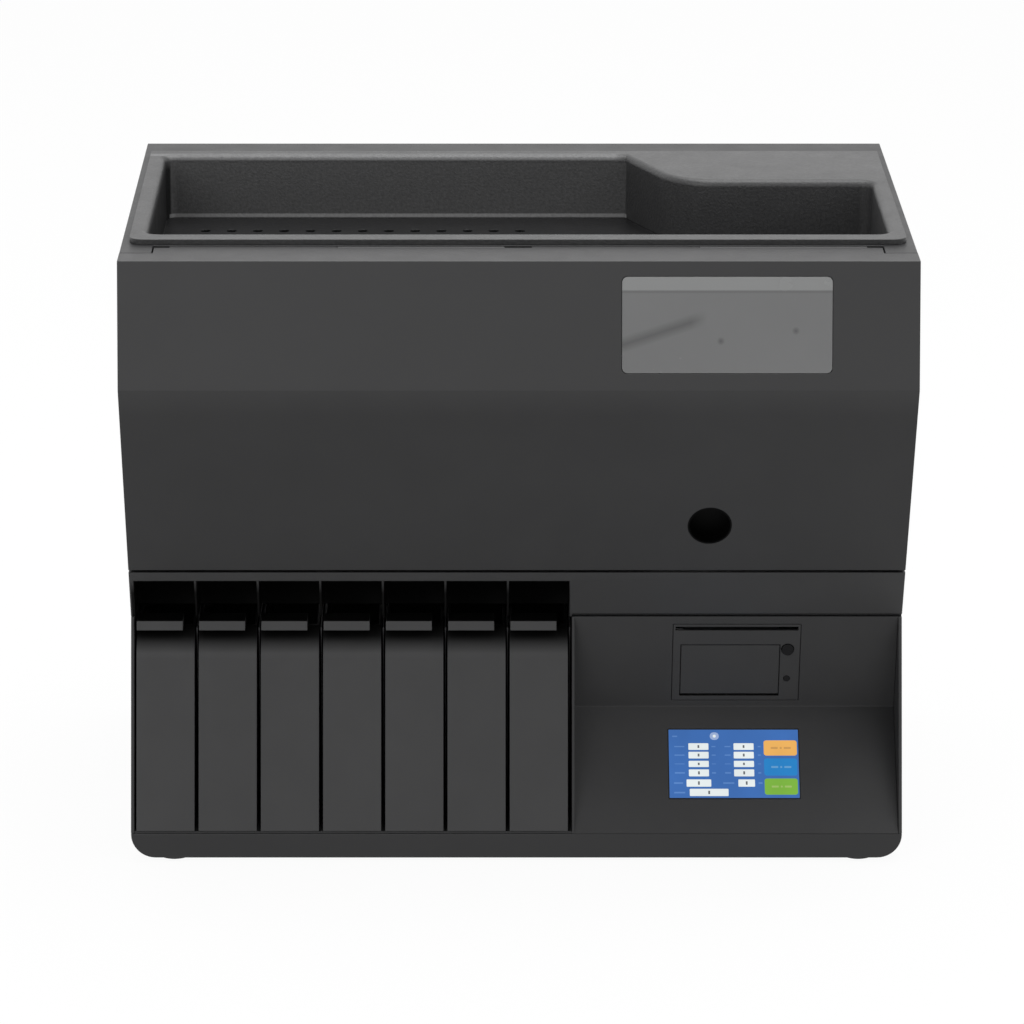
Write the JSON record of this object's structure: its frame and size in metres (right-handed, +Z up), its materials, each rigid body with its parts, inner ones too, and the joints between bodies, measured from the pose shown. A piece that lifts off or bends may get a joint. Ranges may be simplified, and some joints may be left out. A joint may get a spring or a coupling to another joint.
{
  "type": "coin sorting machine",
  "caption": "Counter-top coin sorting machine with an open coin hopper, a lifting front cover with window, coin drawers, a touch screen and a receipt printer.",
  "frame": {"origin": "centre of the bounding box at the bottom of the rubber feet", "axes": "+X to the right as seen from the drawers, +Y to the back, +Z up"},
  "size_m": [0.57, 0.387, 0.468],
  "materials": {
    "case": "fine textured dark grey coating",
    "cover": "fine textured dark grey moulding",
    "hopper": "fine grain dark grey moulding",
    "drawer": "fine grain dark grey moulding",
    "rubber": "matt black",
    "steel": "zinc plated sheet and turned steel",
    "motor": "satin painted motor and solenoid cans",
    "duct": "light grey moulding",
    "black": "matt black moulding",
    "printer": "satin dark grey moulding",
    "window": "smoky clear sheet",
    "lamp": "translucent lens",
    "screen": "display glass",
    "board": "green laminate",
    "paper": "thermal paper",
    "disc": "hard smooth plastic",
    "supply": "pressed case"
  },
  "bodies": {
    "chassis": {"base_pan": "case", "belt_motor": "motor", "board_standoffs": "steel", "coin_chutes": "duct", "coin_fence": "steel", "coin_sensor": "black", "coin_throat": "duct", "control_panel": "cover", "deck_rails": "steel", "disc_guard": "duct", "disc_motor": "motor", "display_board": "board", "drawer_dividers": "case", "drawer_lintel": "cover", "drawer_shelf": "case", "gate_solenoids": "motor", "hinge_leaves": "case", "hopper_tray": "hopper", "left_side_panel": "case", "main_board": "board", "power_inlet": "black", "power_supply": "supply", "printer_bezel": "printer", "printer_body": "black", "rear_panel": "case", "rear_screws": "steel", "right_side_panel": "case", "rubber_feet": "rubber", "sort_deck": "supply", "status_lamp": "lamp", "switch_body": "black", "top_frame": "case", "touch_screen": "screen", "transport_belt": "rubber"},
    "cover": {"front_cover": "cover", "viewing_window": "window", "finger_cup": "black", "hinge_pins": "steel"},
    "disc": {"sorting_disc": "disc", "disc_shaft": "steel"},
    "drive_pulley": {"drive_pulley": "disc"},
    "idle_pulley": {"idle_pulley": "disc"},
    "printer_door": {"printer_door": "printer"},
    "platen": {"platen_roller": "rubber"},
    "paper": {"paper_roll": "paper"},
    "release_button": {"release_button": "black"},
    "power_switch": {"power_switch": "black"},
    "drawer_1": {"coin_drawer_1": "drawer"},
    "drawer_2": {"coin_drawer_2": "drawer"},
    "drawer_3": {"coin_drawer_3": "drawer"},
    "drawer_4": {"coin_drawer_4": "drawer"},
    "drawer_5": {"coin_drawer_5": "drawer"},
    "drawer_6": {"coin_drawer_6": "drawer"},
    "drawer_7": {"coin_drawer_7": "drawer"},
    "gate_1": {"sort_gate_1": "steel"},
    "gate_2": {"sort_gate_2": "steel"},
    "gate_3": {"sort_gate_3": "steel"},
    "gate_4": {"sort_gate_4": "steel"},
    "gate_5": {"sort_gate_5": "steel"},
    "gate_6": {"sort_gate_6": "steel"}
  },
  "joints": [
    {"name": "cover_lift", "type": "hinge", "parent": "chassis", "child": "cover", "pos_m": [0, -0.1314, 0.4615], "axis": [-1, 0, 0], "range_deg": [0, 75]},
    {"name": "drawer_1_slide", "type": "slide", "parent": "chassis", "child": "drawer_1", "axis": [0, -1, 0], "range_m": [0, 0.17]},
    {"name": "drawer_2_slide", "type": "slide", "parent": "chassis", "child": "drawer_2", "axis": [0, -1, 0], "range_m": [0, 0.17]},
    {"name": "drawer_3_slide", "type": "slide", "parent": "chassis", "child": "drawer_3", "axis": [0, -1, 0], "range_m": [0, 0.17]},
    {"name": "drawer_4_slide", "type": "slide", "parent": "chassis", "child": "drawer_4", "axis": [0, -1, 0], "range_m": [0, 0.17]},
    {"name": "drawer_5_slide", "type": "slide", "parent": "chassis", "child": "drawer_5", "axis": [0, -1, 0], "range_m": [0, 0.17]},
    {"name": "drawer_6_slide", "type": "slide", "parent": "chassis", "child": "drawer_6", "axis": [0, -1, 0], "range_m": [0, 0.17]},
    {"name": "drawer_7_slide", "type": "slide", "parent": "chassis", "child": "drawer_7", "axis": [0, -1, 0], "range_m": [0, 0.17]},
    {"name": "disc_spin", "type": "hinge", "parent": "chassis", "child": "disc", "pos_m": [0.174, 0.014, 0.311], "axis": [0, 0, 1], "continuous": true},
    {"name": "drive_spin", "type": "hinge", "parent": "chassis", "child": "drive_pulley", "pos_m": [0.062, -0.004, 0.314], "axis": [0, 0, 1], "continuous": true},
    {"name": "idle_spin", "type": "hinge", "parent": "chassis", "child": "idle_pulley", "pos_m": [-0.262, -0.004, 0.314], "axis": [0, 0, 1], "continuous": true},
    {"name": "gate_1_flap", "type": "hinge", "parent": "chassis", "child": "gate_1", "pos_m": [-0.2595, -0.0235, 0.303], "axis": [1, 0, 0], "range_deg": [0, 30], "stiffness_Nm_per_rad": 0.02, "springref_deg": -28.65},
    {"name": "gate_2_flap", "type": "hinge", "parent": "chassis", "child": "gate_2", "pos_m": [-0.2135, -0.0235, 0.303], "axis": [1, 0, 0], "range_deg": [0, 30], "stiffness_Nm_per_rad": 0.02, "springref_deg": -28.65},
    {"name": "gate_3_flap", "type": "hinge", "parent": "chassis", "child": "gate_3", "pos_m": [-0.1675, -0.0235, 0.303], "axis": [1, 0, 0], "range_deg": [0, 30], "stiffness_Nm_per_rad": 0.02, "springref_deg": -28.65},
    {"name": "gate_4_flap", "type": "hinge", "parent": "chassis", "child": "gate_4", "pos_m": [-0.1215, -0.0235, 0.303], "axis": [1, 0, 0], "range_deg": [0, 30], "stiffness_Nm_per_rad": 0.02, "springref_deg": -28.65},
    {"name": "gate_5_flap", "type": "hinge", "parent": "chassis", "child": "gate_5", "pos_m": [-0.0755, -0.0235, 0.303], "axis": [1, 0, 0], "range_deg": [0, 30], "stiffness_Nm_per_rad": 0.02, "springref_deg": -28.65},
    {"name": "gate_6_flap", "type": "hinge", "parent": "chassis", "child": "gate_6", "pos_m": [-0.0295, -0.0235, 0.303], "axis": [1, 0, 0], "range_deg": [0, 30], "stiffness_Nm_per_rad": 0.02, "springref_deg": -28.65},
    {"name": "printer_door_hinge", "type": "hinge", "parent": "chassis", "child": "printer_door", "pos_m": [0.159, -0.08471, 0.1115], "axis": [1, 0, 0], "range_deg": [0, 80]},
    {"name": "platen_spin", "type": "hinge", "parent": "printer_door", "child": "platen", "pos_m": [0.159, -0.08595, 0.1405], "axis": [1, 0, 0], "continuous": true},
    {"name": "paper_spin", "type": "hinge", "parent": "chassis", "child": "paper", "pos_m": [0.159, -0.05073, 0.1208], "axis": [1, 0, 0], "continuous": true},
    {"name": "button_press", "type": "slide", "parent": "chassis", "child": "release_button", "axis": [0, 1, 0], "range_m": [0, 0.0015], "stiffness_N_per_m": 300, "springref_m": -0.002},
    {"name": "switch_rock", "type": "hinge", "parent": "chassis", "child": "power_switch", "pos_m": [-0.087, 0.188, 0.0725], "axis": [1, 0, 0], "range_deg": [-7, 7]}
  ],
  "couplings": [
    {"joint": "idle_spin", "follows": "drive_spin", "ratio": 1}
  ]
}
